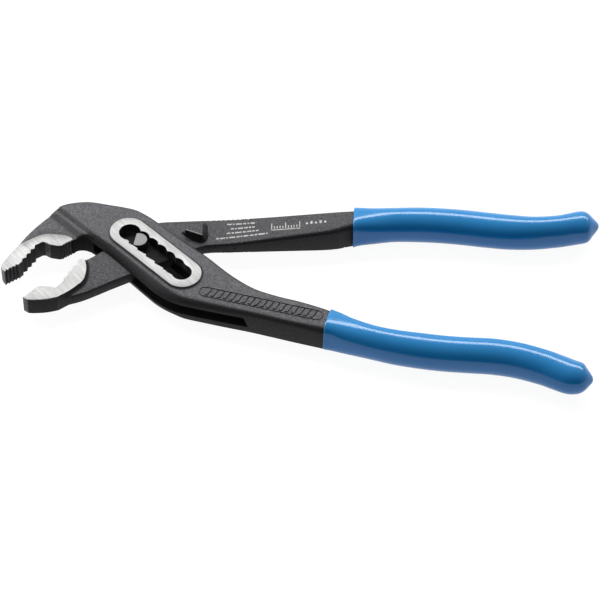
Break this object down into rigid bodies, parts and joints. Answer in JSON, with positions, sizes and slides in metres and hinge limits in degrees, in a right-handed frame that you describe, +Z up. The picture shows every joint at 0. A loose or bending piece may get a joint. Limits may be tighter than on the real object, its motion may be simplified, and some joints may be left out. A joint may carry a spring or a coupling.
{
  "type": "tongue and groove pliers",
  "caption": "Adjustable box-joint pliers with angled toothed jaws, a toothed adjustment slot with a sliding joint pin, a pinch stop and curved dipped grips.",
  "frame": {"origin": "centre of the bounding box's underside, with the tool lying flat on its side", "axes": "+X along the tool from the jaws to the handle ends, +Y from the outer lever's handle towards the inner lever's handle, +Z up through the thickness, along the joint pin"},
  "size_m": [0.2546, 0.1026, 0.0152],
  "materials": {
    "forged_steel": "matt black forged steel with ground bright jaw and boss faces",
    "bright_steel": "ground",
    "dipped_vinyl": "gloss blue dipped vinyl"
  },
  "bodies": {
    "outer": {"outer_lever": "forged_steel", "outer_grip": "dipped_vinyl"},
    "slider": {"pin_rivet": "bright_steel"},
    "inner": {"inner_lever": "forged_steel", "inner_grip": "dipped_vinyl", "joint_pin": "bright_steel"}
  },
  "joints": [
    {"name": "slot_slide", "type": "slide", "parent": "outer", "child": "slider", "axis": [0.6978, -0.7163, 0], "range_m": [0, 0.027]},
    {"name": "lever_hinge", "type": "hinge", "parent": "slider", "child": "inner", "pos_m": [-0.06958, 0.02764, 0.00762], "axis": [0, 0, 1], "range_deg": [-13, 60]}
  ]
}
